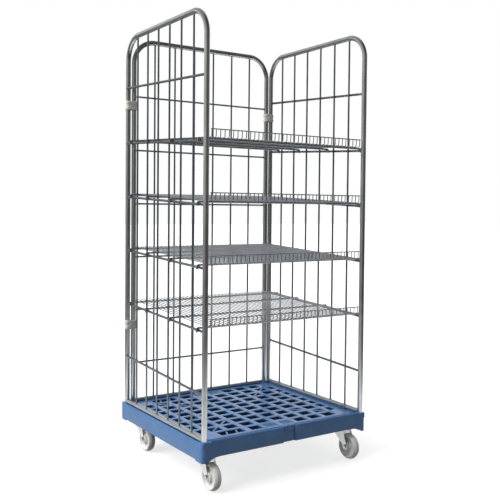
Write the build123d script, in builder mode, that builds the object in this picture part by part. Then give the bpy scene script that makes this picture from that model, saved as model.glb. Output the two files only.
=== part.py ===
from build123d import *
import math
import os

# Roll cage container: a moulded deck on four swivel casters, three welded tube and
# wire panels standing in the deck's corners, and four lift-off wire shelves.
# Units are millimetres. +Z is up, -Y is the open front, z = 0 is the floor, and the
# origin is under the middle of the whole footprint, casters trailing forwards.

os.makedirs("parts", exist_ok=True)

# ---- driving dimensions ----
DECK_WIDTH = 810.0
DECK_DEPTH = 730.0
DECK_CORNER_R = 16.0
GRID_TOP = 194.0
GRID_BOTTOM = 168.0
BORDER_TOP = 192.0
BORDER_BOTTOM = 176.0
APRON_BOTTOM = 137.5
SIDE_APRON_BOTTOM = 124.0
FOOT_BOTTOM = 119.0
APRON_WALL = 5.0
BORDER_WIDTH = 35.0
BORDER_DEPTH = 37.0
RIM_TOP = 202.0
RIM_WIDTH = 10.0

POST_R = 11.0
TUBE_WALL = 1.5
POST_SPACING_X = 775.0
POST_FRONT = -348.0
POST_REAR = 336.0
POST_BOTTOM = 160.0
PANEL_TOP = 1812.0
PANEL_CORNER_R = 100.0
REAR_POST_GAP = 28.0
SIDE_RAIL_Z = 202.3
SIDE_RAIL_R = 10.0
REAR_RAIL_Z = 200.2
REAR_RAIL_R = 8.0
UPRIGHT_R = 4.0
UPRIGHT_COUNT = 6
ROD_COUNT = 6
SIDE_ROD_R = 5.0
SIDE_ROD_Z = 390.0
SIDE_ROD_PITCH = 236.6
SIDE_TOP_ROD_Z = 1579.0
SIDE_ROD_RISE = 34.5
REAR_ROD_R = 4.0
REAR_ROD_Z = 369.5
REAR_ROD_PITCH = 239.0

HOLE_PITCH_X = 75.2
HOLE_PITCH_Y = 62.7
HOLE_SIZE_X = 53.0
HOLE_SIZE_Y = 43.0
HOLE_COUNT = 10

WHEEL_R = 54.0
WHEEL_HALF = 16.0
CASTER_X = 344.0
CASTER_Y = 275.0
CASTER_TRAIL = 55.0
PLATE_X = 86.0
PLATE_Y = 96.0
PLATE_BOTTOM = 137.0
PLATE_TOP = 141.0
CROWN_TOP = 126.0
SHEET = 4.0

SHELF_RODS = (1, 2, 3, 4)
BAR_R = 4.0
BAR_FRACTIONS = (0.05, 0.37, 0.68, 0.92)
WIRE_R = 1.8
WIRE_COUNT = 39
WIRE_PITCH = 19.2
LIP_HEIGHT = 30.0
REST_GAP = 0.3
WELD_SINK = 0.4

# ---- derived places ----
# the deck stands back from the origin by half of what the front wheels reach past it
DECK_Y = (CASTER_Y + CASTER_TRAIL + WHEEL_R - DECK_DEPTH / 2) / 2
FRONT_Y = DECK_Y + POST_FRONT
REAR_Y = DECK_Y + POST_REAR
PANEL_DEPTH = REAR_Y - FRONT_Y
PANEL_MID_Y = (FRONT_Y + REAR_Y) / 2
POST_X = POST_SPACING_X / 2
REAR_POST_X = POST_X - REAR_POST_GAP
SOCKET_R = POST_R + 0.2
PLATE_HALF_X = DECK_WIDTH / 2 - BORDER_WIDTH
PLATE_HALF_Y = DECK_DEPTH / 2 - BORDER_DEPTH
UPRIGHT_LENGTH = PANEL_TOP - REAR_RAIL_Z
UPRIGHT_MID_Z = (PANEL_TOP + REAR_RAIL_Z) / 2
ROD_TILT = math.atan(SIDE_ROD_RISE / PANEL_DEPTH)
SIDE_ROD_HEIGHTS = [SIDE_ROD_Z + step * SIDE_ROD_PITCH for step in range(ROD_COUNT - 1)] + [SIDE_TOP_ROD_Z]
ROD_DIRECTION = (0, math.cos(ROD_TILT), math.sin(ROD_TILT))
SHELF_NORMAL = (0, -math.sin(ROD_TILT), math.cos(ROD_TILT))
SIDE_ROD_X = POST_X + UPRIGHT_R + SIDE_ROD_R - 2.5
CORNERS = {
    "front_left": (-CASTER_X, DECK_Y - CASTER_Y),
    "front_right": (CASTER_X, DECK_Y - CASTER_Y),
    "rear_left": (-CASTER_X, DECK_Y + CASTER_Y),
    "rear_right": (CASTER_X, DECK_Y + CASTER_Y),
}


# ================= deck =================
# Grid field: a deep slab pierced by rows of rectangular cells. The outer two columns
# are narrower, the corner cells stay solid, and the front row holds slots and pockets.
NARROW_SIZE = 30.0
OPEN_COLUMNS = range(1, HOLE_COUNT - 1)


def column_x(column):
    return (column - (HOLE_COUNT - 1) / 2) * HOLE_PITCH_X


def row_y(row):
    return DECK_Y + (row - (HOLE_COUNT - 1) / 2) * HOLE_PITCH_Y


NARROW_X = column_x(HOLE_COUNT - 1) - (HOLE_SIZE_X - NARROW_SIZE) / 2
LAST = HOLE_COUNT - 1
POCKET_COLUMNS = (1, 2)
SLOT_COLUMNS = (4, 5)
wide_cells = [
    (column_x(c), row_y(r))
    for r in range(HOLE_COUNT)
    for c in OPEN_COLUMNS
    if not (r in (0, LAST) and c in POCKET_COLUMNS + SLOT_COLUMNS)
]
narrow_cells = [(side * NARROW_X, row_y(r)) for r in range(1, LAST) for side in (-1, 1)]
pocket_x = (column_x(1) + column_x(2)) / 2
POCKET_LENGTH = 112.0
POCKET_FLOOR = 180.0
BRACE_LENGTH = 150.0
BRACE_WIDTH = 9.0
BRACE_ANGLE = math.degrees(math.atan(HOLE_PITCH_Y / HOLE_PITCH_X))

with BuildPart() as deck_grid:
    with BuildSketch(Plane.XY.offset(GRID_BOTTOM)):
        with Locations((0, DECK_Y)):
            Rectangle(2 * PLATE_HALF_X, 2 * PLATE_HALF_Y)
        with Locations(*wide_cells):
            RectangleRounded(HOLE_SIZE_X, HOLE_SIZE_Y, 3, mode=Mode.SUBTRACT)
        with Locations(*narrow_cells):
            RectangleRounded(NARROW_SIZE, HOLE_SIZE_Y, 3, mode=Mode.SUBTRACT)
        # the rear panel's posts stand in the slab's rear edge
        with Locations((-REAR_POST_X, REAR_Y), (REAR_POST_X, REAR_Y)):
            Circle(SOCKET_R, mode=Mode.SUBTRACT)
        # three close slots in two cells of the first and last rows
        for row in (0, LAST):
            for column in SLOT_COLUMNS:
                for step in (-1, 0, 1):
                    with Locations((column_x(column), row_y(row) + step * 14)):
                        SlotOverall(HOLE_SIZE_X, 6, mode=Mode.SUBTRACT)
    extrude(amount=GRID_TOP - GRID_BOTTOM)
    # long hand pockets beside the left corners
    with BuildSketch(Plane.XY.offset(GRID_TOP)):
        with Locations((pocket_x, row_y(0)), (pocket_x, row_y(LAST))):
            RectangleRounded(POCKET_LENGTH, HOLE_SIZE_Y, 4)
    extrude(amount=POCKET_FLOOR - GRID_TOP, mode=Mode.SUBTRACT)
    # diagonal braces across two cells over every caster
    with BuildSketch(Plane.XY.offset(GRID_BOTTOM)):
        for side in (-1, 1):
            for end in (-1, 1):
                centre = (side * abs(column_x(1) + column_x(2)) / 2, DECK_Y + end * 3 * HOLE_PITCH_Y)
                with Locations(Location(centre, side * end * BRACE_ANGLE)):
                    Rectangle(BRACE_LENGTH, BRACE_WIDTH)
    extrude(amount=GRID_TOP - GRID_BOTTOM)
deck_grid.part.label = "deck_grid"
export_step(deck_grid.part, "parts/deck_grid.step")

# Border: a flange round the grid with a deep apron, corner sockets for the posts,
# low corner feet, raised rims at front and rear and a grooved centre.
SOCKET_TOP = 197.0
SOCKET_BOTTOM = 150.0
FOOT_LENGTH = 50.0
GROOVE_WIDTH = 62.0
GROOVE_DEPTH = 8.0
REAR_SOCKET_X = 63.0
REAR_SOCKET_Y = 42.0
outer_x = DECK_WIDTH / 2
outer_y = DECK_DEPTH / 2
END_FOOT_X = outer_x - DECK_CORNER_R
END_RAMP_X = outer_x - 55.0
END_RAMP_Z = 135.0
END_APRON_X = outer_x - 80.0
SIDE_FOOT_Y = outer_y - FOOT_LENGTH
SIDE_APRON_Y = SIDE_FOOT_Y - 8.0
APRON_CORNER_R = DECK_CORNER_R - APRON_WALL

with BuildPart() as deck_border:
    # flange
    with BuildSketch(Plane.XY.offset(BORDER_BOTTOM)):
        with Locations((0, DECK_Y)):
            RectangleRounded(DECK_WIDTH, DECK_DEPTH, DECK_CORNER_R)
            Rectangle(2 * PLATE_HALF_X, 2 * PLATE_HALF_Y, mode=Mode.SUBTRACT)
    extrude(amount=BORDER_TOP - BORDER_BOTTOM)
    # apron, down to the corner feet all round
    with BuildSketch(Plane.XY.offset(FOOT_BOTTOM)):
        with Locations((0, DECK_Y)):
            RectangleRounded(DECK_WIDTH, DECK_DEPTH, DECK_CORNER_R)
            RectangleRounded(
                DECK_WIDTH - 2 * APRON_WALL, DECK_DEPTH - 2 * APRON_WALL, APRON_CORNER_R, mode=Mode.SUBTRACT
            )
    extrude(amount=BORDER_BOTTOM - FOOT_BOTTOM)
    # between the feet the front and rear aprons stop higher, with a slope up from each foot
    with BuildSketch(Plane.XZ):
        with BuildLine():
            Polyline(
                (-END_FOOT_X, FOOT_BOTTOM),
                (-END_RAMP_X, END_RAMP_Z),
                (-END_APRON_X, APRON_BOTTOM),
                (END_APRON_X, APRON_BOTTOM),
                (END_RAMP_X, END_RAMP_Z),
                (END_FOOT_X, FOOT_BOTTOM),
                close=True,
            )
        make_face()
    extrude(amount=DECK_DEPTH, both=True, mode=Mode.SUBTRACT)
    # and the side aprons a little
    with BuildSketch(Plane.YZ):
        with BuildLine():
            Polyline(
                (DECK_Y - SIDE_FOOT_Y, FOOT_BOTTOM),
                (DECK_Y - SIDE_APRON_Y, SIDE_APRON_BOTTOM),
                (DECK_Y + SIDE_APRON_Y, SIDE_APRON_BOTTOM),
                (DECK_Y + SIDE_FOOT_Y, FOOT_BOTTOM),
                close=True,
            )
        make_face()
    extrude(amount=DECK_WIDTH, both=True, mode=Mode.SUBTRACT)
    # front socket blocks
    with BuildSketch(Plane.XY.offset(SOCKET_BOTTOM)):
        for side in (-1, 1):
            with Locations((side * (outer_x - BORDER_WIDTH / 2), DECK_Y - outer_y + BORDER_WIDTH / 2)):
                RectangleRounded(BORDER_WIDTH, BORDER_WIDTH, APRON_CORNER_R)
    extrude(amount=SOCKET_TOP - SOCKET_BOTTOM)
    # rear socket blocks, each for a side post and a rear post
    with BuildSketch(Plane.XY.offset(SOCKET_BOTTOM)):
        for side in (-1, 1):
            with Locations((side * (outer_x - REAR_SOCKET_X / 2), DECK_Y + outer_y - REAR_SOCKET_Y / 2)):
                RectangleRounded(REAR_SOCKET_X, REAR_SOCKET_Y, APRON_CORNER_R)
        with Locations((0, DECK_Y)):
            Rectangle(2 * PLATE_HALF_X, 2 * PLATE_HALF_Y, mode=Mode.SUBTRACT)
    extrude(amount=SOCKET_TOP - SOCKET_BOTTOM)
    with BuildSketch(Plane.XY.offset(SOCKET_BOTTOM)):
        for side in (-1, 1):
            with Locations((side * (outer_x - REAR_SOCKET_X / 2), DECK_Y + outer_y - REAR_SOCKET_Y / 2)):
                RectangleRounded(REAR_SOCKET_X, REAR_SOCKET_Y, APRON_CORNER_R)
    extrude(amount=GRID_BOTTOM - SOCKET_BOTTOM)
    # raised rims and the blocks behind the centre grooves
    with BuildSketch(Plane.XY.offset(BORDER_BOTTOM)):
        for end in (-1, 1):
            with Locations((0, DECK_Y + end * (outer_y - RIM_WIDTH / 2))):
                Rectangle(2 * PLATE_HALF_X, RIM_WIDTH)
    extrude(amount=RIM_TOP - BORDER_BOTTOM)
    with BuildSketch(Plane.XY.offset(APRON_BOTTOM)):
        for end in (-1, 1):
            with Locations((0, DECK_Y + end * (outer_y - GROOVE_DEPTH))):
                Rectangle(GROOVE_WIDTH + 20, 2 * GROOVE_DEPTH)
    extrude(amount=RIM_TOP - APRON_BOTTOM)
    with BuildSketch(Plane.XY.offset(APRON_BOTTOM)):
        for end in (-1, 1):
            with Locations((0, DECK_Y + end * outer_y)):
                Rectangle(GROOVE_WIDTH, 2 * GROOVE_DEPTH)
    extrude(amount=RIM_TOP - APRON_BOTTOM, mode=Mode.SUBTRACT)
    # post sockets
    with BuildSketch(Plane.XY.offset(POST_BOTTOM)):
        for side in (-1, 1):
            with Locations((side * POST_X, FRONT_Y), (side * POST_X, REAR_Y), (side * REAR_POST_X, REAR_Y)):
                Circle(SOCKET_R)
    extrude(amount=SOCKET_TOP - POST_BOTTOM, mode=Mode.SUBTRACT)
    # seats that let the bottom rails down between the socket pads
    with BuildSketch(Plane.XY.offset(BORDER_TOP)):
        for side in (-1, 1):
            with Locations((side * POST_X, PANEL_MID_Y)):
                Rectangle(2 * SIDE_RAIL_R + 0.4, PANEL_DEPTH)
        with Locations((0, REAR_Y)):
            Rectangle(2 * REAR_POST_X, 2 * REAR_RAIL_R + 0.4)
    extrude(amount=SOCKET_TOP - BORDER_TOP, mode=Mode.SUBTRACT)
deck_border.part.label = "deck_border"
export_step(deck_border.part, "parts/deck_border.step")

# Mounting blocks moulded under the grid, one over each caster
BOLT_X = 31.0
BOLT_Y = 38.0
BOLT_R = 4.0
BOLT_TOP = 160.0
bolt_places = [(x + sx * BOLT_X, y + sy * BOLT_Y) for x, y in CORNERS.values() for sx in (-1, 1) for sy in (-1, 1)]

with BuildPart() as caster_blocks:
    with BuildSketch(Plane.XY.offset(PLATE_TOP)):
        with Locations(*CORNERS.values()):
            RectangleRounded(PLATE_X + 10, PLATE_Y, 8)
    extrude(amount=GRID_BOTTOM - PLATE_TOP)
    with BuildSketch(Plane.XY.offset(PLATE_TOP)):
        with Locations(*bolt_places):
            Circle(BOLT_R)
    extrude(amount=BOLT_TOP - PLATE_TOP, mode=Mode.SUBTRACT)
caster_blocks.part.label = "caster_blocks"
export_step(caster_blocks.part, "parts/caster_blocks.step")


# ================= panels =================
def upright_places(low, high):
    return [low + (high - low) * i / (UPRIGHT_COUNT + 1) for i in range(1, UPRIGHT_COUNT + 1)]


TAB_INSET = 100.0
TAB_WIDTH = 30.0
TAB_HEIGHT = 17.0
TAB_THICKNESS = 3.0
ROD_END_INSET = 4.0

for side_name, side in (("left", -1), ("right", 1)):
    # inverted U of tube
    with BuildPart() as side_frame:
        with BuildLine(Plane.YZ.offset(side * POST_X)) as side_path:
            FilletPolyline(
                (FRONT_Y, POST_BOTTOM),
                (FRONT_Y, PANEL_TOP),
                (REAR_Y, PANEL_TOP),
                (REAR_Y, POST_BOTTOM),
                radius=PANEL_CORNER_R,
            )
        with BuildSketch(Plane(origin=(side * POST_X, FRONT_Y, POST_BOTTOM), z_dir=(0, 0, 1))):
            Circle(POST_R)
            Circle(POST_R - TUBE_WALL, mode=Mode.SUBTRACT)
        sweep(path=side_path.wires()[0])
    side_frame.part.label = f"{side_name}_frame"
    export_step(side_frame.part, f"parts/{side_name}_frame.step")

    # bottom rail between the posts
    with BuildPart() as side_rail:
        with BuildSketch(Plane.XZ.offset(-(FRONT_Y + POST_R - 1))):
            with Locations((side * POST_X, SIDE_RAIL_Z)):
                Circle(SIDE_RAIL_R)
                Circle(SIDE_RAIL_R - TUBE_WALL, mode=Mode.SUBTRACT)
        extrude(amount=-(PANEL_DEPTH - 2 * POST_R + 2))
    side_rail.part.label = f"{side_name}_bottom_rail"
    export_step(side_rail.part, f"parts/{side_name}_bottom_rail.step")

    # upright rods
    with BuildPart() as side_uprights:
        with Locations(*[(side * POST_X, y, UPRIGHT_MID_Z) for y in upright_places(FRONT_Y, REAR_Y)]):
            Cylinder(UPRIGHT_R, UPRIGHT_LENGTH)
    side_uprights.part.label = f"{side_name}_uprights"
    export_step(side_uprights.part, f"parts/{side_name}_uprights.step")

    # shelf rods on the outside of the uprights, lower at the front
    rod_length = (PANEL_DEPTH - 2 * ROD_END_INSET) / math.cos(ROD_TILT)
    with BuildPart() as side_rods:
        for rod_z in SIDE_ROD_HEIGHTS:
            with Locations(Plane(origin=(side * SIDE_ROD_X, PANEL_MID_Y, rod_z), z_dir=ROD_DIRECTION)):
                Cylinder(SIDE_ROD_R, rod_length)
    side_rods.part.label = f"{side_name}_shelf_rods"
    export_step(side_rods.part, f"parts/{side_name}_shelf_rods.step")

    # upright tabs welded to the inner side of the rail, standing on the deck's border
    with BuildPart() as side_tabs:
        tab_x = side * (POST_X - SIDE_RAIL_R + 0.5 - TAB_THICKNESS / 2)
        tab_z = BORDER_TOP + TAB_HEIGHT / 2
        with Locations((tab_x, FRONT_Y + TAB_INSET, tab_z), (tab_x, REAR_Y - TAB_INSET, tab_z)):
            Box(TAB_THICKNESS, TAB_WIDTH, TAB_HEIGHT)
    side_tabs.part.label = f"{side_name}_rail_tabs"
    export_step(side_tabs.part, f"parts/{side_name}_rail_tabs.step")

with BuildPart() as rear_frame:
    with BuildLine(Plane.XZ.offset(-REAR_Y)) as rear_path:
        FilletPolyline(
            (-REAR_POST_X, POST_BOTTOM),
            (-REAR_POST_X, PANEL_TOP),
            (REAR_POST_X, PANEL_TOP),
            (REAR_POST_X, POST_BOTTOM),
            radius=PANEL_CORNER_R,
        )
    with BuildSketch(Plane(origin=(-REAR_POST_X, REAR_Y, POST_BOTTOM), z_dir=(0, 0, 1))):
        Circle(POST_R)
        Circle(POST_R - TUBE_WALL, mode=Mode.SUBTRACT)
    sweep(path=rear_path.wires()[0])
rear_frame.part.label = "rear_frame"
export_step(rear_frame.part, "parts/rear_frame.step")

with BuildPart() as rear_rail:
    rear_rail_half = REAR_POST_X - POST_R + 1
    with BuildSketch(Plane.YZ.offset(-rear_rail_half)):
        with Locations((REAR_Y, REAR_RAIL_Z)):
            Circle(REAR_RAIL_R)
            Circle(REAR_RAIL_R - TUBE_WALL, mode=Mode.SUBTRACT)
    extrude(amount=2 * rear_rail_half)
rear_rail.part.label = "rear_bottom_rail"
export_step(rear_rail.part, "parts/rear_bottom_rail.step")

with BuildPart() as rear_uprights:
    with Locations(*[(x, REAR_Y, UPRIGHT_MID_Z) for x in upright_places(-REAR_POST_X, REAR_POST_X)]):
        Cylinder(UPRIGHT_R, UPRIGHT_LENGTH)
rear_uprights.part.label = "rear_uprights"
export_step(rear_uprights.part, "parts/rear_uprights.step")

with BuildPart() as rear_rods:
    rear_rod_y = REAR_Y + UPRIGHT_R + REAR_ROD_R - 2
    for step in range(ROD_COUNT):
        with Locations(Plane(origin=(0, rear_rod_y, REAR_ROD_Z + step * REAR_ROD_PITCH), z_dir=(1, 0, 0))):
            Cylinder(REAR_ROD_R, 2 * (REAR_POST_X - ROD_END_INSET))
rear_rods.part.label = "rear_cross_rods"
export_step(rear_rods.part, "parts/rear_cross_rods.step")

# Corner clips: each holds a side panel's rear post and a rear panel post together
CLIP_HEIGHT = 38.0
CLIP_WALL = 3.0
CLIP_Z = {"lower": 546.0, "upper": 1522.0}
CLIP_X = (POST_X + REAR_POST_X) / 2
clip_r = POST_R + 0.2

for side_name, side in (("left", -1), ("right", 1)):
    for level, clip_z in CLIP_Z.items():
        with BuildPart() as clip:
            with BuildSketch(Plane.XY.offset(clip_z - CLIP_HEIGHT / 2)):
                with Locations((side * CLIP_X, REAR_Y)):
                    SlotCenterToCenter(REAR_POST_GAP, 2 * (clip_r + CLIP_WALL))
                with Locations((side * POST_X, REAR_Y), (side * REAR_POST_X, REAR_Y)):
                    Circle(clip_r, mode=Mode.SUBTRACT)
            extrude(amount=CLIP_HEIGHT)
        clip.part.label = f"{side_name}_{level}_clip"
        export_step(clip.part, f"parts/{side_name}_{level}_clip.step")


# ================= casters =================
# Each form is drawn about its swivel axis at x = y = 0, with the wheel trailing to -Y.
AXLE_R = 5.0
AXLE_Z = WHEEL_R
RACE_R = 27.0
RACE_GAP = 0.2
KINGPIN_R = 6.0
LEG_IN = 19.5
LEG_THICKNESS = 3.0
LEG_OUT = LEG_IN + LEG_THICKNESS
LEG_BOSS_R = 12.0
CROWN_FRONT = -45.0
CROWN_REAR = 22.0
BUSH_R = 10.0
RUNNING_GAP = 0.05

with BuildPart() as plate_form:
    with BuildSketch(Plane.XY.offset(PLATE_BOTTOM)):
        RectangleRounded(PLATE_X, PLATE_Y, 8)
        Circle(KINGPIN_R, mode=Mode.SUBTRACT)
        with GridLocations(2 * BOLT_X, 2 * BOLT_Y, 2, 2):
            Circle(BOLT_R + 0.5, mode=Mode.SUBTRACT)
    extrude(amount=PLATE_TOP - PLATE_BOTTOM)

with BuildPart() as race_form:
    with BuildSketch(Plane.XZ):
        with BuildLine():
            Polyline(
                (KINGPIN_R, PLATE_BOTTOM),
                (RACE_R + 3, PLATE_BOTTOM),
                (RACE_R, PLATE_BOTTOM - 5),
                (RACE_R, CROWN_TOP + RACE_GAP),
                (KINGPIN_R, CROWN_TOP + RACE_GAP),
                close=True,
            )
        make_face()
    revolve(axis=Axis.Z)

KINGPIN_HEAD = 6.0
crown_bottom = CROWN_TOP - SHEET

with BuildPart() as kingpin_form:
    with BuildSketch(Plane.XZ):
        with BuildLine():
            Polyline(
                (0, PLATE_TOP - 1),
                (KINGPIN_R, PLATE_TOP - 1),
                (KINGPIN_R, crown_bottom - RACE_GAP),
                (KINGPIN_R + 4, crown_bottom - RACE_GAP),
                (KINGPIN_R + 4, crown_bottom - KINGPIN_HEAD + 1),
                (KINGPIN_R + 3, crown_bottom - KINGPIN_HEAD),
                (0, crown_bottom - KINGPIN_HEAD),
                close=True,
            )
        make_face()
    revolve(axis=Axis.Z)

with BuildPart() as fork_form:
    # crown
    with BuildSketch(Plane.XY.offset(crown_bottom)):
        with Locations((0, (CROWN_FRONT + CROWN_REAR) / 2)):
            Rectangle(2 * LEG_OUT, CROWN_REAR - CROWN_FRONT)
        Circle(KINGPIN_R + RUNNING_GAP, mode=Mode.SUBTRACT)
    extrude(amount=SHEET)
    # tapering legs
    for leg_x in (-LEG_OUT, LEG_IN):
        with BuildSketch(Plane.YZ.offset(leg_x)) as leg:
            with BuildLine():
                Polyline(
                    (CROWN_FRONT, CROWN_TOP),
                    (CROWN_FRONT, CROWN_TOP - 14),
                    (-CASTER_TRAIL - LEG_BOSS_R, AXLE_Z),
                    (-CASTER_TRAIL + LEG_BOSS_R, AXLE_Z - 2),
                    (CROWN_REAR, CROWN_TOP - 20),
                    (CROWN_REAR, CROWN_TOP),
                    close=True,
                )
            make_face()
            with Locations((-CASTER_TRAIL, AXLE_Z)):
                Circle(LEG_BOSS_R)
                Circle(AXLE_R, mode=Mode.SUBTRACT)
        extrude(amount=LEG_THICKNESS)

HEAD_FLAT = 17.0
HEAD_HEIGHT = 6.0
HEX_R = HEAD_FLAT / math.sqrt(3)

with BuildPart() as axle_form:
    with BuildSketch(Plane.YZ.offset(-LEG_OUT)):
        with Locations((-CASTER_TRAIL, AXLE_Z)):
            Circle(AXLE_R)
    extrude(amount=2 * LEG_OUT + HEAD_HEIGHT + 2)
    with BuildSketch(Plane.YZ.offset(-LEG_OUT - HEAD_HEIGHT)):
        with Locations((-CASTER_TRAIL, AXLE_Z)):
            RegularPolygon(HEX_R, 6)
    extrude(amount=HEAD_HEIGHT)
    with BuildSketch(Plane.YZ.offset(LEG_OUT)):
        with Locations((-CASTER_TRAIL, AXLE_Z)):
            RegularPolygon(HEX_R, 6)
    extrude(amount=HEAD_HEIGHT)

HUB_R = 20.0
HUB_HALF = 18.5
WEB_HALF = 7.0
RIM_R = 42.0
TREAD_ROUND = 6.0
wheel_plane = Plane(origin=(0, -CASTER_TRAIL, AXLE_Z), x_dir=(0, 0, 1), z_dir=(0, -1, 0))

with BuildPart() as wheel_form:
    # half section: across is the radius, up is the axle's direction
    with BuildSketch(wheel_plane):
        with BuildLine():
            Polyline(
                (BUSH_R, -HUB_HALF),
                (HUB_R, -HUB_HALF),
                (HUB_R + 2, -WEB_HALF),
                (RIM_R - 2, -WEB_HALF),
                (RIM_R, -WHEEL_HALF),
                (WHEEL_R - TREAD_ROUND, -WHEEL_HALF),
            )
            ThreePointArc(
                (WHEEL_R - TREAD_ROUND, -WHEEL_HALF),
                (WHEEL_R, 0),
                (WHEEL_R - TREAD_ROUND, WHEEL_HALF),
            )
            Polyline(
                (WHEEL_R - TREAD_ROUND, WHEEL_HALF),
                (RIM_R, WHEEL_HALF),
                (RIM_R - 2, WEB_HALF),
                (HUB_R + 2, WEB_HALF),
                (HUB_R, HUB_HALF),
                (BUSH_R, HUB_HALF),
                (BUSH_R, -HUB_HALF),
            )
        make_face()
    revolve(axis=Axis((0, -CASTER_TRAIL, AXLE_Z), (1, 0, 0)))

BUSH_HALF = LEG_IN - 0.3

with BuildPart() as bush_form:
    with BuildSketch(Plane.YZ.offset(-BUSH_HALF)):
        with Locations((-CASTER_TRAIL, AXLE_Z)):
            Circle(BUSH_R)
            Circle(AXLE_R + RUNNING_GAP, mode=Mode.SUBTRACT)
    extrude(amount=2 * BUSH_HALF)

caster_forms = {
    "caster_plate": plate_form,
    "swivel_race": race_form,
    "kingpin": kingpin_form,
    "fork": fork_form,
    "axle_bolt": axle_form,
    "wheel": wheel_form,
    "wheel_bush": bush_form,
}
for corner, (caster_x, caster_y) in CORNERS.items():
    for piece, form in caster_forms.items():
        with BuildPart() as placed:
            with Locations((caster_x, caster_y, 0)):
                add(form.part)
        placed.part.label = f"{corner}_{piece}"
        export_step(placed.part, f"parts/{corner}_{piece}.step")

BOLT_HEAD_FLAT = 13.0
BOLT_HEAD_HEIGHT = 5.3

with BuildPart() as caster_bolts:
    with BuildSketch(Plane.XY.offset(PLATE_BOTTOM)):
        with Locations(*bolt_places):
            Circle(BOLT_R)
    extrude(amount=BOLT_TOP - PLATE_BOTTOM)
    with BuildSketch(Plane.XY.offset(PLATE_BOTTOM - BOLT_HEAD_HEIGHT)):
        with Locations(*bolt_places):
            RegularPolygon(BOLT_HEAD_FLAT / math.sqrt(3), 6)
    extrude(amount=BOLT_HEAD_HEIGHT)
caster_bolts.part.label = "caster_bolts"
export_step(caster_bolts.part, "parts/caster_bolts.step")


# ================= shelves =================
# Drawn flat about the middle of a shelf rod pair, then placed on the sloping rods.
HOOK_DROP = 6.0
HOOK_BEND_R = 6.0
HOOK_GAP = 0.6
bar_z = SIDE_ROD_R + BAR_R + REST_GAP
bar_x = SIDE_ROD_X + SIDE_ROD_R + HOOK_GAP + BAR_R
wire_z = bar_z + BAR_R + WIRE_R - WELD_SINK
wire_front = -PANEL_DEPTH / 2
wire_rear = PANEL_DEPTH / 2 - 12
WIRE_BEND_R = 6.0
LIP_WIRE_R = 2.2
wire_half = (WIRE_COUNT - 1) / 2 * WIRE_PITCH
LIP_WIRE_HALF = wire_half + 4

with BuildPart() as bars_form:
    for fraction in BAR_FRACTIONS:
        bar_y = (fraction - 0.5) * PANEL_DEPTH
        with BuildLine(Plane.XZ.offset(-bar_y)) as bar_path:
            FilletPolyline(
                (-bar_x, -HOOK_DROP), (-bar_x, bar_z), (bar_x, bar_z), (bar_x, -HOOK_DROP), radius=HOOK_BEND_R
            )
        with BuildSketch(Plane(origin=(-bar_x, bar_y, -HOOK_DROP), z_dir=(0, 0, 1))):
            Circle(BAR_R)
        sweep(path=bar_path.wires()[0])

with BuildPart() as wire_form:
    with BuildLine(Plane.YZ) as wire_path:
        FilletPolyline(
            (wire_front, wire_z + LIP_HEIGHT), (wire_front, wire_z), (wire_rear, wire_z), radius=WIRE_BEND_R
        )
    with BuildSketch(Plane(origin=(0, wire_front, wire_z + LIP_HEIGHT), z_dir=(0, 0, -1))):
        Circle(WIRE_R)
    sweep(path=wire_path.wires()[0])

with BuildPart() as wires_form:
    with BuildSketch(Plane.YZ.offset(-LIP_WIRE_HALF)):
        with Locations((wire_front, wire_z + LIP_HEIGHT)):
            Circle(LIP_WIRE_R)
    extrude(amount=2 * LIP_WIRE_HALF)
    with Locations(*[(-wire_half + i * WIRE_PITCH, 0, 0) for i in range(WIRE_COUNT)]):
        add(wire_form.part)

for number, rod in enumerate(SHELF_RODS, start=1):
    shelf_plane = Plane(
        origin=(0, PANEL_MID_Y, SIDE_ROD_HEIGHTS[rod]), x_dir=(1, 0, 0), z_dir=SHELF_NORMAL
    )
    with BuildPart() as shelf_bars:
        with Locations(shelf_plane):
            add(bars_form.part)
    shelf_bars.part.label = f"shelf_{number}_bars"
    export_step(shelf_bars.part, f"parts/shelf_{number}_bars.step")
    with BuildPart() as shelf_wires:
        with Locations(shelf_plane):
            add(wires_form.part)
    shelf_wires.part.label = f"shelf_{number}_wires"
    export_step(shelf_wires.part, f"parts/shelf_{number}_wires.step")
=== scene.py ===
import bpy
import bmesh
import math
import random
from mathutils import Matrix, Vector


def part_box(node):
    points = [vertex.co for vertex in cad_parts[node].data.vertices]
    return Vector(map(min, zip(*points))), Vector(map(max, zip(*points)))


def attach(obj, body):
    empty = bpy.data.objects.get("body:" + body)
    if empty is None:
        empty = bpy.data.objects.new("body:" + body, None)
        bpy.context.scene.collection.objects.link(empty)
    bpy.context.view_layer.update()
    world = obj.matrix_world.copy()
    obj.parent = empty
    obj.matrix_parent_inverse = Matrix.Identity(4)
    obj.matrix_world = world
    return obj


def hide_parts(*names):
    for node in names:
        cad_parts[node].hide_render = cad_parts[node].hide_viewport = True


# Roll cage container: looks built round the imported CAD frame. Units are metres.
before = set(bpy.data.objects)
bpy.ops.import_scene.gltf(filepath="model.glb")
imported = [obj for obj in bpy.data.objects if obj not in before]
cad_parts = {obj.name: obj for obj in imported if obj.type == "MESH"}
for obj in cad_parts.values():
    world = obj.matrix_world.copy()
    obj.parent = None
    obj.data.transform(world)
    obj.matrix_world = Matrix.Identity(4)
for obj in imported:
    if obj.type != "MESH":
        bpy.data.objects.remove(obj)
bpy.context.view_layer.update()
MM = 0.001
CORNERS = ("front_left", "front_right", "rear_left", "rear_right")


# ---------------------------------------------------------------- places from the frame
def centre(node):
    low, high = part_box(node)
    return (Vector(low) + Vector(high)) / 2


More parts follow.
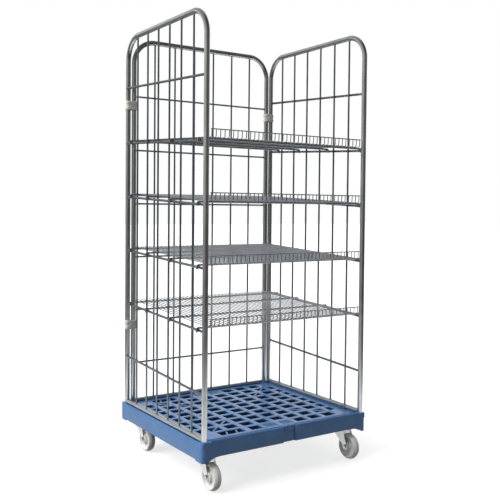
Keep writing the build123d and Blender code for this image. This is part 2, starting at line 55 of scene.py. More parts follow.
def solids(node):
    """Extreme corners of each separate solid in a node, lowest first."""
    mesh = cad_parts[node].data
    work = bmesh.new()
    work.from_mesh(mesh)
    bmesh.ops.remove_doubles(work, verts=work.verts, dist=1e-6)
    seen, found = set(), []
    for start in work.verts:
        if start in seen:
            continue
        island, queue = [], [start]
        seen.add(start)
        while queue:
            vert = queue.pop()
            island.append(vert.co.copy())
            for edge in vert.link_edges:
                other = edge.other_vert(vert)
                if other not in seen:
                    seen.add(other)
                    queue.append(other)
        low = Vector([min(co[i] for co in island) for i in range(3)])
        high = Vector([max(co[i] for co in island) for i in range(3)])
        found.append((low, high))
    work.free()
    return sorted(found, key=lambda ends: (round(ends[0].z, 3), round(ends[0].y, 3), round(ends[0].x, 3)))


POST_R = 11 * MM
side_low, side_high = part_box("right_frame")
POST_X = (side_low[0] + side_high[0]) / 2
FRONT_Y = side_low[1] + POST_R
REAR_Y = side_high[1] - POST_R
FOOT_Z = side_low[2]
TOP_Z = side_high[2] - POST_R
PANEL_CORNER_R = 100 * MM
REAR_POST_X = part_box("rear_frame")[1][0] - POST_R
grid_low, grid_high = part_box("deck_grid")
border_low, border_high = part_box("deck_border")
GRID_TOP = grid_high[2]
GRID_BOTTOM = grid_low[2]
DECK_Y = (border_low[1] + border_high[1]) / 2
HALF_X = border_high[0]
HALF_Y = (border_high[1] - border_low[1]) / 2
RIM_TOP = border_high[2]
FOOT_BOTTOM = border_low[2]


# ---------------------------------------------------------------- materials
def new_material(name):
    material = bpy.data.materials.new(name)
    material.use_nodes = True
    shader = material.node_tree.nodes["Principled BSDF"]
    return material, material.node_tree, shader


def noise(tree, scale, detail=4.0, roughness=0.55, stretch=(1, 1, 1)):
    """Noise over the row frame, so it stays with the piece and needs no UVs."""
    place = tree.nodes.new("ShaderNodeTexCoord")
    mapping = tree.nodes.new("ShaderNodeMapping")
    mapping.inputs["Scale"].default_value = stretch
    texture = tree.nodes.new("ShaderNodeTexNoise")
    texture.inputs["Scale"].default_value = scale
    texture.inputs["Detail"].default_value = detail
    texture.inputs["Roughness"].default_value = roughness
    tree.links.new(place.outputs["Object"], mapping.inputs["Vector"])
    tree.links.new(mapping.outputs["Vector"], texture.inputs["Vector"])
    return texture


def ramp(tree, source, stops):
    node = tree.nodes.new("ShaderNodeValToRGB")
    elements = node.color_ramp.elements
    while len(elements) < len(stops):
        elements.new(0.5)
    for element, (position, colour) in zip(elements, stops):
        element.position = position
        element.color = (*colour, 1)
    tree.links.new(source, node.inputs["Fac"])
    return node


def spread(tree, source, low, high):
    node = tree.nodes.new("ShaderNodeMapRange")
    node.inputs["From Min"].default_value = 0.3
    node.inputs["From Max"].default_value = 0.7
    node.inputs["To Min"].default_value = low
    node.inputs["To Max"].default_value = high
    tree.links.new(source, node.inputs["Value"])
    return node


def bump(tree, shader, source, strength, distance):
    node = tree.nodes.new("ShaderNodeBump")
    node.inputs["Strength"].default_value = strength
    node.inputs["Distance"].default_value = distance
    tree.links.new(source, node.inputs["Height"])
    tree.links.new(node.outputs["Normal"], shader.inputs["Normal"])


def zinc(name, dark, light, rough_low, rough_high, scale):
    """Bright zinc plate: faint clouding, uneven gloss and a fine skin."""
    material, tree, shader = new_material(name)
    clouds = noise(tree, scale, 5)
    colour = ramp(tree, clouds.outputs["Fac"], [(0.3, dark), (0.7, light)])
    tree.links.new(colour.outputs["Color"], shader.inputs["Base Color"])
    gloss = spread(tree, noise(tree, scale * 2.3, 3).outputs["Fac"], rough_low, rough_high)
    tree.links.new(gloss.outputs["Result"], shader.inputs["Roughness"])
    shader.inputs["Metallic"].default_value = 1.0
    bump(tree, shader, noise(tree, 300, 3).outputs["Fac"], 0.02, 0.0001)
    return material


def moulded(name, dark, light, rough_low, rough_high, grain, coat=0.0, painted_shade=None):
    """Moulded plastic: slight mottling, a fine grain and a soft gloss.

    The last argument is (low, high, share) for painted shade: the colour falls from full at the high height
    to a share at the low, standing in for the shade deep in the cells.
    """
    material, tree, shader = new_material(name)
    mottling = noise(tree, 14, 5, 0.6)
    colour = ramp(tree, mottling.outputs["Fac"], [(0.3, dark), (0.7, light)])
    base = colour.outputs["Color"]
    # painted shade: the colour darkens with depth below the grid's face, standing in for the shade inside the
    # cells
    if painted_shade:
        place = tree.nodes.new("ShaderNodeTexCoord")
        split = tree.nodes.new("ShaderNodeSeparateXYZ")
        tree.links.new(place.outputs["Object"], split.inputs["Vector"])
        depth = tree.nodes.new("ShaderNodeMapRange")
        depth.inputs["From Min"].default_value = painted_shade[0]
        depth.inputs["From Max"].default_value = painted_shade[1]
        depth.inputs["To Min"].default_value = painted_shade[2]
        depth.inputs["To Max"].default_value = 1.0
        tree.links.new(split.outputs["Z"], depth.inputs["Value"])
        shade_mix = tree.nodes.new("ShaderNodeMixRGB")
        shade_mix.blend_type = "MULTIPLY"
        shade_mix.inputs["Fac"].default_value = 1.0
        tree.links.new(base, shade_mix.inputs["Color1"])
        tree.links.new(depth.outputs["Result"], shade_mix.inputs["Color2"])
        base = shade_mix.outputs["Color"]
    tree.links.new(base, shader.inputs["Base Color"])
    gloss = spread(tree, noise(tree, 40, 4).outputs["Fac"], rough_low, rough_high)
    tree.links.new(gloss.outputs["Result"], shader.inputs["Roughness"])
    shader.inputs["Coat Weight"].default_value = coat
    shader.inputs["Specular IOR Level"].default_value = 0.35
    bump(tree, shader, noise(tree, grain, 2).outputs["Fac"], 0.25, 0.0003)
    return material


TUBE_ZINC = zinc("tube_zinc", (0.52, 0.53, 0.53), (0.68, 0.69, 0.68), 0.28, 0.36, 9)
ROD_ZINC = zinc("rod_zinc", (0.20, 0.22, 0.235), (0.31, 0.33, 0.345), 0.32, 0.44, 14)
WIRE_ZINC = zinc("wire_zinc", (0.30, 0.325, 0.345), (0.44, 0.46, 0.48), 0.30, 0.42, 14)
WELD_ZINC = zinc("weld_zinc", (0.36, 0.36, 0.36), (0.56, 0.56, 0.55), 0.34, 0.50, 60)
CASTER_ZINC = zinc("caster_zinc", (0.55, 0.57, 0.57), (0.75, 0.77, 0.76), 0.30, 0.44, 30)
BOLT_ZINC = zinc("bolt_zinc", (0.40, 0.42, 0.42), (0.62, 0.64, 0.64), 0.26, 0.40, 50)
BLUE_DARK = (0.042, 0.122, 0.285)
BLUE_LIGHT = (0.055, 0.150, 0.335)
DECK_BLUE = moulded("deck_blue", BLUE_DARK, BLUE_LIGHT, 0.34, 0.48, 700, 0.04)
# painted shade: the grid's blue falls off just below its face, so the cells, which lie in shade, look near
# black
CELL_PAINTED_SHADE = (GRID_TOP - 5 * MM, GRID_TOP - 1.5 * MM, 0.16)
GRID_BLUE = moulded("grid_blue", BLUE_DARK, BLUE_LIGHT, 0.28, 0.40, 700, 0.2, CELL_PAINTED_SHADE)
CLIP_WHITE = moulded("clip_white", (0.66, 0.65, 0.60), (0.76, 0.75, 0.70), 0.32, 0.45, 500)
WHEEL_WHITE = moulded("wheel_white", (0.56, 0.57, 0.55), (0.68, 0.68, 0.66), 0.28, 0.42, 400)
WHEEL_SEAM = moulded("wheel_seam", (0.40, 0.33, 0.24), (0.50, 0.42, 0.32), 0.40, 0.55, 400)


# ---------------------------------------------------------------- mesh helpers
def make(name, work, material, body, replaces=(), sharp=35):
    """Turns a bmesh into a smooth-shaded piece that rides on a body."""
    mesh = bpy.data.meshes.new(name)
    bmesh.ops.recalc_face_normals(work, faces=work.faces)
    work.to_mesh(mesh)
    work.free()
    mesh.shade_smooth()
    mesh.set_sharp_from_angle(angle=math.radians(sharp))
    mesh.materials.append(material)
    piece = bpy.data.objects.new(name, mesh)
    bpy.context.scene.collection.objects.link(piece)
    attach(piece, body)
    if replaces:
        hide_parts(*replaces)


def rounded_path(corners, radius, steps):
    """Straight runs between corners, with each inner corner turned into a tangent arc."""
    points = [Vector(corners[0])]
    for before, corner, after in zip(corners, corners[1:], corners[2:]):
        corner = Vector(corner)
        back = (Vector(before) - corner).normalized()
        ahead = (Vector(after) - corner).normalized()
        half = back.angle(ahead) / 2
        middle = corner + (back + ahead).normalized() * (radius / math.sin(half))
        start = corner + back * (radius / math.tan(half)) - middle
        finish = corner + ahead * (radius / math.tan(half)) - middle
        turn = start.angle(finish)
        for i in range(steps + 1):
            t = i / steps
            weight = math.sin((1 - t) * turn), math.sin(t * turn)
            points.append(middle + (start * weight[0] + finish * weight[1]) / math.sin(turn))
    points.append(Vector(corners[-1]))
    return points


def join_rings(work, rings, closed=False):
    """Faces between neighbouring rings of vertices; closed joins the last ring to the first."""
    for ring, after in zip(rings, rings[1:] + (rings[:1] if closed else [])):
        for k in range(len(ring)):
            following = (k + 1) % len(ring)
            work.faces.new((ring[k], ring[following], after[following], after[k]))


def sweep(work, path, radius, sides, round_end=0.0):
    """A closed round bar along a path; round_end chamfers its two end faces."""
    path = [Vector(p) for p in path]
    radii = [radius] * len(path)
    if round_end:
        first = (path[1] - path[0]).normalized() * round_end
        last = (path[-1] - path[-2]).normalized() * round_end
        path = [path[0], path[0] + first] + path[1:-1] + [path[-1] - last, path[-1]]
        radii = [radius - round_end] + [radius] * (len(path) - 2) + [radius - round_end]
    forward = (path[1] - path[0]).normalized()
    side = forward.orthogonal().normalized()
    rings = []
    for i, point in enumerate(path):
        ahead = path[min(i + 1, len(path) - 1)] - path[i]
        behind = path[i] - path[max(i - 1, 0)]
        tangent = (ahead.normalized() + behind.normalized()).normalized()
        side = (side - tangent * side.dot(tangent)).normalized()
        across = tangent.cross(side)
        ring = []
        for k in range(sides):
            angle = 2 * math.pi * k / sides
            out = side * math.cos(angle) + across * math.sin(angle)
            ring.append(work.verts.new(point + out * radii[i]))
        rings.append(ring)
    join_rings(work, rings)
    work.faces.new(rings[0])
    work.faces.new(rings[-1])


def bead(work, place, radii):
    """A small weld bead: a flattened ball."""
    matrix = Matrix.Translation(place) @ Matrix.Diagonal((*radii, 1))
    bmesh.ops.create_icosphere(work, subdivisions=2, radius=1.0, matrix=matrix)


def lathe(work, profile, place, axis, segments):
    """Revolves (radius, along) points about an axis through place; profile is a closed loop."""
    axis = Vector(axis).normalized()
    side = axis.orthogonal().normalized()
    across = axis.cross(side)
    rings = []
    for i in range(segments):
        angle = 2 * math.pi * i / segments
        out = side * math.cos(angle) + across * math.sin(angle)
        rings.append([work.verts.new(Vector(place) + out * r + axis * h) for r, h in profile])
    join_rings(work, rings, closed=True)


def prism(work, outline, low, high, bevel, axis="Z", segments=2):
    """A flat outline given thickness along an axis, with softened edges."""
    place = {
        "X": lambda a, b, h: Vector((h, a, b)),
        "Y": lambda a, b, h: Vector((a, h, b)),
        "Z": lambda a, b, h: Vector((a, b, h)),
    }[axis]
    bottom = [work.verts.new(place(a, b, low)) for a, b in outline]
    top = [work.verts.new(place(a, b, high)) for a, b in outline]
    faces = [work.faces.new(bottom), work.faces.new(top)]
    count = len(outline)
    for k in range(count):
        faces.append(work.faces.new((bottom[k], bottom[(k + 1) % count], top[(k + 1) % count], top[k])))
    if bevel:
        rims = list({edge for face in faces[:2] for edge in face.edges})
        bmesh.ops.bevel(work, geom=rims, offset=bevel, segments=segments, profile=0.5, affect="EDGES")


def rounded_rectangle(x, y, half_x, half_y, radius, steps=6):
    points = []
    for quarter, (sx, sy) in enumerate(((1, 1), (-1, 1), (-1, -1), (1, -1))):
        for i in range(steps + 1):
            angle = math.pi / 2 * (quarter + i / steps)
            points.append(
                (
                    x + sx * (half_x - radius) + radius * math.cos(angle),
                    y + sy * (half_y - radius) + radius * math.sin(angle),
                )
            )
    return points


def hexagon(a, b, flat, turn=0.0):
    radius = flat / math.sqrt(3)
    return [
        (a + radius * math.cos(turn + i * math.pi / 3), b + radius * math.sin(turn + i * math.pi / 3))
        for i in range(6)
    ]


# ---------------------------------------------------------------- panels
def tube_frame(name, corners):
    work = bmesh.new()
    sweep(work, rounded_path(corners, PANEL_CORNER_R, 16), POST_R, 32)
    make(f"{name}_tube", work, TUBE_ZINC, "base", [f"{name}_frame"])


def straight_rods(piece, node, sides, sloping=False):
    """Rods along the longest side of each solid's box; a sloping one runs from low to high in it."""
    work = bmesh.new()
    ends = []
    for low, high in solids(node):
        size = high - low
        along = max(range(3), key=lambda i: size[i])
        radius = min(size) / 2
        start, finish = (low + high) / 2, (low + high) / 2
        start[along], finish[along] = low[along], high[along]
        if sloping:
            start.z, finish.z = low.z + radius, high.z - radius
        sweep(work, [start, finish], radius, sides, 0.15 * radius)
        ends.append((start, finish))
    make(piece, work, ROD_ZINC, "base", [node])
    return ends


CROSSING_BEAD_INSET = 4.2 * MM  # from a rod's axis towards the upright that it crosses
ROD_END_INSET = 7 * MM
TOP_BEAD_DROP = 10.6 * MM  # an upright ends inside the top tube; its bead is on the tube's lower side


def panel_welds(name, uprights, rods, outward, rail_top):
    """Beads where rods cross uprights, where rods meet the posts and where uprights end."""
    work = bmesh.new()
    rng = random.Random(name)
    for start, finish in rods:
        along = (finish - start).normalized()
        for low, high in uprights:
            spot = start + along * (low - start).dot(along) - outward * CROSSING_BEAD_INSET
            size = rng.uniform(4.7, 5.6) * MM
            bead(work, spot, (size, size, size * 0.8))
        for end, inward in ((start, along), (finish, -along)):
            bead(work, end + inward * ROD_END_INSET - outward * 1.5 * MM, (4.5 * MM, 4.5 * MM, 5.5 * MM))
    for low, high in uprights:
        bead(work, Vector((low.x, low.y, rail_top)), (5.4 * MM, 5.4 * MM, 2.4 * MM))
        bead(work, Vector((high.x, high.y, high.z - TOP_BEAD_DROP)), (5.4 * MM, 5.4 * MM, 2.6 * MM))
    make(f"{name}_weld_beads", work, WELD_ZINC, "base")


def bottom_rail(name, axis):
    low, high = (Vector(corner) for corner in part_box(f"{name}_bottom_rail"))
    middle = (low + high) / 2
    start, finish = middle.copy(), middle.copy()
    start[axis], finish[axis] = low[axis], high[axis]
    work = bmesh.new()
    sweep(work, [start, finish], (high.z - low.z) / 2, 28)
    for end, step in ((start, 1), (finish, -1)):
        place = end.copy()
        place[axis] += step * 1.5 * MM
        radii = [9 * MM] * 3
        radii[axis] = 2.5 * MM
        bead(work, place, radii)
    make(f"{name}_rail_tube", work, TUBE_ZINC, "base", [f"{name}_bottom_rail"])
    return high.z


for side_name, side in (("left", -1), ("right", 1)):
    x = side * POST_X
    corners = [(x, FRONT_Y, FOOT_Z), (x, FRONT_Y, TOP_Z), (x, REAR_Y, TOP_Z), (x, REAR_Y, FOOT_Z)]
    tube_frame(side_name, corners)
    rail_top = bottom_rail(side_name, 1)
    uprights = straight_rods(f"{side_name}_upright_rods", f"{side_name}_uprights", 16)
    rods = straight_rods(f"{side_name}_outer_rods", f"{side_name}_shelf_rods", 20, sloping=True)
    panel_welds(side_name, uprights, rods, Vector((side, 0, 0)), rail_top)

x = REAR_POST_X
tube_frame("rear", [(-x, REAR_Y, FOOT_Z), (-x, REAR_Y, TOP_Z), (x, REAR_Y, TOP_Z), (x, REAR_Y, FOOT_Z)])
rail_top = bottom_rail("rear", 0)
uprights = straight_rods("rear_upright_rods", "rear_uprights", 16)
rods = straight_rods("rear_outer_rods", "rear_cross_rods", 18)
panel_welds("rear", uprights, rods, Vector((0, 1, 0)), rail_top)

# upright tabs welded to the inner side of each side rail, with their free corners cut off
for side_name in ("left", "right"):
    work = bmesh.new()
    for low, high in solids(f"{side_name}_rail_tabs"):
        cut = 7 * MM
        outline = [
            (low.y, low.z),
            (high.y, low.z),
            (high.y, high.z - cut),
            (high.y - cut, high.z),
            (low.y + cut, high.z),
            (low.y, high.z - cut),
        ]
        prism(work, outline, low.x, high.x, 0.5 * MM, "X")
    make(f"{side_name}_tab_plates", work, WELD_ZINC, "base", [f"{side_name}_rail_tabs"])

# ---------------------------------------------------------------- clips
for side_name in ("left", "right"):
    for level in ("lower", "upper"):
        node = f"{side_name}_{level}_clip"
        low, high = (Vector(corner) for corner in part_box(node))
        middle = (low + high) / 2
        radius = (high.y - low.y) / 2
        reach = (high.x - low.x) / 2 - radius
        work = bmesh.new()
        # outer skin: a stadium with softened rims, ribbed round the middle
        levels = (
            (low.z, radius - 1.4 * MM),
            (low.z + 1.4 * MM, radius),
            (middle.z - 7 * MM, radius),
            (middle.z - 6 * MM, radius - 1.2 * MM),
            (middle.z + 6 * MM, radius - 1.2 * MM),
            (middle.z + 7 * MM, radius),
            (high.z - 1.4 * MM, radius),
            (high.z, radius - 1.4 * MM),
        )
        rings = []
        for z, r in levels:
            ring = []
            for sign, start in ((1, -math.pi / 2), (-1, math.pi / 2)):
                for i in range(13):
                    angle = start + math.pi * i / 12
                    x = middle.x + sign * reach + r * math.cos(angle)
                    ring.append(work.verts.new((x, middle.y + r * math.sin(angle), z)))
            rings.append(ring)
        join_rings(work, rings)
        work.faces.new(rings[0])
        work.faces.new(rings[-1])
        # snap tongue across the gap between the two posts, on the outer face
        tongue = rounded_rectangle(middle.x, middle.z, 7 * MM, 12 * MM, 2.5 * MM)
        prism(work, tongue, middle.y + radius - 1.5 * MM, middle.y + radius - 0.1 * MM, 0.4 * MM, "Y")
        prism(work, tongue, middle.y - radius + 0.1 * MM, middle.y - radius + 1.5 * MM, 0.4 * MM, "Y")
        make(f"{node}_shell", work, CLIP_WHITE, "base", [node])

# ---------------------------------------------------------------- deck grid
GRID_BEVEL = 2.2 * MM
HOLE_PITCH_X = 75.2 * MM
HOLE_PITCH_Y = 62.7 * MM
HOLE_X = 53 * MM
HOLE_Y = 43 * MM
NARROW_X = 30 * MM
COUNT = 10
LAST = COUNT - 1
POCKETS = (1, 2)
SLOTS = (4, 5)
POCKET_FLOOR = GRID_TOP - 14 * MM


def column_x(column):
    return (column - LAST / 2) * HOLE_PITCH_X


def row_y(row):
    return DECK_Y + (row - LAST / 2) * HOLE_PITCH_Y


holes = []
for row in range(COUNT):
    edge_row = row in (0, LAST)
    for column in range(1, LAST):
        if edge_row and column in POCKETS:
            continue
        if edge_row and column in SLOTS:
            for step in (-1, 0, 1):
                holes.append((column_x(column), row_y(row) + step * 14 * MM, HOLE_X, 6 * MM))
        else:
            holes.append((column_x(column), row_y(row), HOLE_X, HOLE_Y))
    if not edge_row:
        for sign in (-1, 1):
            holes.append((sign * (column_x(LAST) - (HOLE_X - NARROW_X) / 2), row_y(row), NARROW_X, HOLE_Y))
pockets = [((column_x(1) + column_x(2)) / 2, row_y(row), 112 * MM, HOLE_Y) for row in (0, LAST)]


def build_grid():
    """A lattice of quads with a cell left out at every hole, then softened at every rim."""
    cuts_x = {grid_low[0], grid_high[0]}
    cuts_y = {grid_low[1], grid_high[1]}
    for x, y, width, depth in holes + pockets:
        cuts_x |= {round(x - width / 2, 6), round(x + width / 2, 6)}
        cuts_y |= {round(y - depth / 2, 6), round(y + depth / 2, 6)}
    xs, ys = sorted(cuts_x), sorted(cuts_y)
    work = bmesh.new()
    verts = {}

    def vert(i, j, z):
        key = (i, j, round(z, 6))
        if key not in verts:
            verts[key] = work.verts.new((xs[i], ys[j], z))
        return verts[key]

    def inside(x, y, places):
        return any(abs(x - cx) < w / 2 and abs(y - cy) < d / 2 for cx, cy, w, d in places)

    tops = {}
    for i in range(len(xs) - 1):
        for j in range(len(ys) - 1):
            x, y = (xs[i] + xs[i + 1]) / 2, (ys[j] + ys[j + 1]) / 2
            if inside(x, y, holes):
                continue
            top = POCKET_FLOOR if inside(x, y, pockets) else GRID_TOP
            tops[i, j] = top
            for z in (top, GRID_BOTTOM):
                work.faces.new((vert(i, j, z), vert(i + 1, j, z), vert(i + 1, j + 1, z), vert(i, j + 1, z)))
    # each neighbour's step in i and j, and the two corners of the wall that it shares with this cell
    neighbours = (
        (1, 0, (1, 0), (1, 1)),
        (-1, 0, (0, 0), (0, 1)),
        (0, 1, (0, 1), (1, 1)),
        (0, -1, (0, 0), (1, 0)),
    )
    for (i, j), top in tops.items():
        for di, dj, a, b in neighbours:
            other = tops.get((i + di, j + dj), GRID_BOTTOM)
            if top > other:
                p, q = (i + a[0], j + a[1]), (i + b[0], j + b[1])
                work.faces.new((vert(*p, other), vert(*q, other), vert(*q, top), vert(*p, top)))
    bmesh.ops.recalc_face_normals(work, faces=work.faces)

    def underside(edge):
        return all(abs(end.co.z - GRID_BOTTOM) < 1e-5 for end in edge.verts)

    rims = [
        edge
        for edge in work.edges
        if len(edge.link_faces) == 2 and edge.calc_face_angle() > 1 and not underside(edge)
    ]
    bmesh.ops.bevel(
        work, geom=rims, offset=GRID_BEVEL, segments=3, profile=0.5, affect="EDGES", clamp_overlap=True
    )
    return work


grid_mesh = build_grid()
# diagonal braces over the casters and slanting straps in the hand pockets
brace_angle = math.atan(HOLE_PITCH_Y / HOLE_PITCH_X)
for sx in (-1, 1):
    for sy in (-1, 1):
        middle = Vector((sx * abs(column_x(1) + column_x(2)) / 2, DECK_Y + sy * 3 * HOLE_PITCH_Y, 0))
        along = Vector((math.cos(brace_angle) * sx, math.sin(brace_angle) * sy, 0))
        across = Vector((-along.y, along.x, 0))
        corners = []
        for s, t in ((-1, -1), (1, -1), (1, 1), (-1, 1)):
            spot = middle + along * s * 75 * MM + across * t * 4.5 * MM
            corners.append((spot.x, spot.y))
        prism(grid_mesh, corners, GRID_BOTTOM + 0.5 * MM, GRID_TOP - 0.2 * MM, 1.6 * MM)
for x, y, width, depth in pockets:
    for shift in (-0.18, 0.22):
        spot = x + shift * width
        lean = 9 * MM
        corners = [
            (spot - lean - 4 * MM, y - depth / 2),
            (spot - lean + 4 * MM, y - depth / 2),
            (spot + lean + 4 * MM, y + depth / 2),
            (spot + lean - 4 * MM, y + depth / 2),
        ]
        prism(grid_mesh, corners, POCKET_FLOOR - 1 * MM, GRID_TOP - 2 * MM, 1.4 * MM)
make("deck_grid_moulding", grid_mesh, GRID_BLUE, "base", ["deck_grid"], sharp=50)


# ---------------------------------------------------------------- deck border
BORDER_TOP = 192 * MM
FLANGE_BOTTOM = 176 * MM
APRON_BOTTOM = 137.5 * MM
SIDE_APRON_BOTTOM = 124 * MM
DECK_CORNER_R = 16 * MM
APRON_WALL = 5 * MM
BORDER_WIDTH = 35 * MM
BORDER_DEPTH = 37 * MM
RIM_WIDTH = 10 * MM
# (distance from the deck's corner, height) of each apron's lower edge and of the end rim's top
SIDE_EDGE = [(50 * MM, FOOT_BOTTOM), (58 * MM, SIDE_APRON_BOTTOM)]
END_EDGE = [(DECK_CORNER_R, FOOT_BOTTOM), (55 * MM, 135 * MM), (80 * MM, APRON_BOTTOM)]
RIM_EDGE = [(35 * MM, BORDER_TOP + 3.5 * MM), (42 * MM, RIM_TOP)]
# distances from the corner at which the border's sections stand
SIDE_GAPS = (35 * MM, 50 * MM, 58 * MM, 70 * MM, 160 * MM)
END_GAPS = (30 * MM, 35 * MM, 38 * MM, 42 * MM, 55 * MM, 80 * MM, 92 * MM, 200 * MM)
CORNER_STEPS = 8
GROOVE_HALF = 31 * MM
GROOVE_DEPTH = 8 * MM


def height_at(table, distance):
    """Straight lines between the (distance, height) pairs of a table, level past its ends."""
    if distance <= table[0][0]:
        return table[0][1]
    for (start, low), (finish, high) in zip(table, table[1:]):
        if distance <= finish:
            return low + (high - low) * (distance - start) / (finish - start)
    return table[-1][1]


def border_profile(is_end, gap, grooved):
    """The border's section as (inset, height) points, from the grid's edge over the top and down."""
    top = height_at(RIM_EDGE, gap) if is_end else BORDER_TOP + 3.5 * MM
    bottom = height_at(END_EDGE if is_end else SIDE_EDGE, gap)
    width = BORDER_DEPTH if is_end else BORDER_WIDTH
    shift = GROOVE_DEPTH if grooved else 0
    wall = APRON_WALL + shift * 1.4
    lip = RIM_WIDTH if is_end else 6 * MM
    return [
        (width, FLANGE_BOTTOM),
        (width, GRID_TOP - 3 * MM),
        (width - 2 * MM, BORDER_TOP),
        (lip + 2.5 * MM + shift, BORDER_TOP),
        (lip + shift, BORDER_TOP + 1.2 * MM),
        (lip - 0.6 * MM + shift, top - 2 * MM),
        (lip - 2.4 * MM + shift, top - 0.3 * MM),
        (lip - 3.4 * MM + shift, top),
        (2.6 * MM + shift, top),
        (1.0 * MM + shift, top - 0.8 * MM),
        (0.2 * MM + shift, top - 2.4 * MM),
        (shift, top - 5 * MM),
        (shift, bottom + 3 * MM),
        (0.7 * MM + shift, bottom + 0.8 * MM),
        (2.4 * MM + shift, bottom),
        (wall, bottom),
        (wall, FLANGE_BOTTOM),
    ]


def build_border():
    """Sections set round the deck's outline and joined, with mitred inner corners."""
    work = bmesh.new()
    rings = []
    for side in range(4):
        turn = Matrix.Rotation(side * math.pi / 2, 2)
        normal, along = turn @ Vector((1, 0)), turn @ Vector((0, 1))
        is_end = side % 2 == 1
        reach, span = (HALF_Y, HALF_X) if is_end else (HALF_X, HALF_Y)
        gaps = [DECK_CORNER_R, *END_GAPS] if is_end else [DECK_CORNER_R, *SIDE_GAPS]
        marks = [gap - span for gap in gaps]
        if is_end:
            marks += [-GROOVE_HALF - 2 * MM, -GROOVE_HALF - 0.01 * MM, -GROOVE_HALF, -GROOVE_HALF + 2 * MM]
        marks += [0] + [-mark for mark in reversed(marks)]
        for mark in marks:
            grooved = is_end and abs(mark) <= GROOVE_HALF
            ring = []
            for inset, z in border_profile(is_end, span - abs(mark), grooved):
                limit = span - max(inset, DECK_CORNER_R)
                spot = normal * (reach - inset) + along * max(-limit, min(limit, mark))
                ring.append(work.verts.new((spot.x, spot.y + DECK_Y, z)))
            rings.append(ring)
        middle = normal * (reach - DECK_CORNER_R) + along * (span - DECK_CORNER_R)
        for step in range(1, CORNER_STEPS):
            share = step / CORNER_STEPS
            turned = Matrix.Rotation(math.pi / 2 * share, 2) @ normal
            ends = border_profile(is_end, 0, False), border_profile(not is_end, 0, False)
            ring = []
            for (inset_a, z_a), (inset_b, z_b) in zip(*ends):
                inset = inset_a + (inset_b - inset_a) * share
                if inset <= DECK_CORNER_R:
                    spot = middle + turned * (DECK_CORNER_R - inset)
                else:
                    spot = middle - normal * (inset_a - DECK_CORNER_R) - along * (inset_b - DECK_CORNER_R)
                ring.append(work.verts.new((spot.x, spot.y + DECK_Y, z_a + (z_b - z_a) * share)))
            rings.append(ring)
    join_rings(work, rings, closed=True)
    bmesh.ops.remove_doubles(work, verts=work.verts, dist=1e-6)
    return work


border_mesh = build_border()
# pads round the post feet
PAD_TOP = 197 * MM
PAD_HALF = 17.2 * MM
for sx in (-1, 1):
    outline = rounded_rectangle(sx * POST_X, FRONT_Y, PAD_HALF, 16.8 * MM, 9 * MM)
    prism(border_mesh, outline, FLANGE_BOTTOM, PAD_TOP, 2 * MM, segments=3)
    rear_x = sx * (POST_X + REAR_POST_X) / 2
    outline = rounded_rectangle(rear_x, REAR_Y, PAD_HALF + 14 * MM, 17 * MM, 9 * MM)
    prism(border_mesh, outline, FLANGE_BOTTOM, PAD_TOP, 2 * MM, segments=3)
# slot bar near the top of each groove
for end in (-1, 1):
    y = DECK_Y + end * (HALF_Y - GROOVE_DEPTH)
    outline = rounded_rectangle(0, 188 * MM, 22 * MM, 2.6 * MM, 2.4 * MM)
    prism(border_mesh, outline, min(y, y + end * 3 * MM), max(y, y + end * 3 * MM), 0.6 * MM, "Y")
make("deck_border_moulding", border_mesh, DECK_BLUE, "base", ["deck_border"], sharp=50)

# ---------------------------------------------------------------- caster blocks under the grid
work = bmesh.new()
for low, high in solids("caster_blocks"):
    middle = (low + high) / 2
    outline = rounded_rectangle(middle.x, middle.y, (high.x - low.x) / 2, (high.y - low.y) / 2, 8 * MM)
    prism(work, outline, low.z, high.z, 1.5 * MM)
    # stiffening ribs from the block up to the grid
    for step in (-0.3, 0, 0.3):
        x = middle.x + step * (high.x - low.x)
        outline = rounded_rectangle(x, middle.y, 2 * MM, (high.y - low.y) / 2 - 1 * MM, 1 * MM, 2)
        prism(work, outline, low.z + 4 * MM, high.z, 0)
make("caster_block_mouldings", work, DECK_BLUE, "base", ["caster_blocks"])

# ---------------------------------------------------------------- casters
AXLE_R = 5 * MM
LEG_IN = 19.5 * MM
LEG_OUT = 22.5 * MM
WASHER_THICK = 1.4 * MM
WHEEL_SEGMENTS = 96


def rounded_profile(corners, radius, steps=4):
    """A closed (radius, along) loop with each corner eased."""
    points = []
    count = len(corners)
    for i in range(count):
        before, corner, after = (Vector((*corners[(i + k) % count], 0)) for k in (-1, 0, 1))
        ease = min(radius, (before - corner).length * 0.45, (after - corner).length * 0.45)
        start = corner + (before - corner).normalized() * ease
        finish = corner + (after - corner).normalized() * ease
        for k in range(steps + 1):
            t = k / steps
            spot = start * (1 - t) ** 2 + corner * 2 * t * (1 - t) + finish * t**2
            points.append((spot.x, spot.y))
    return points


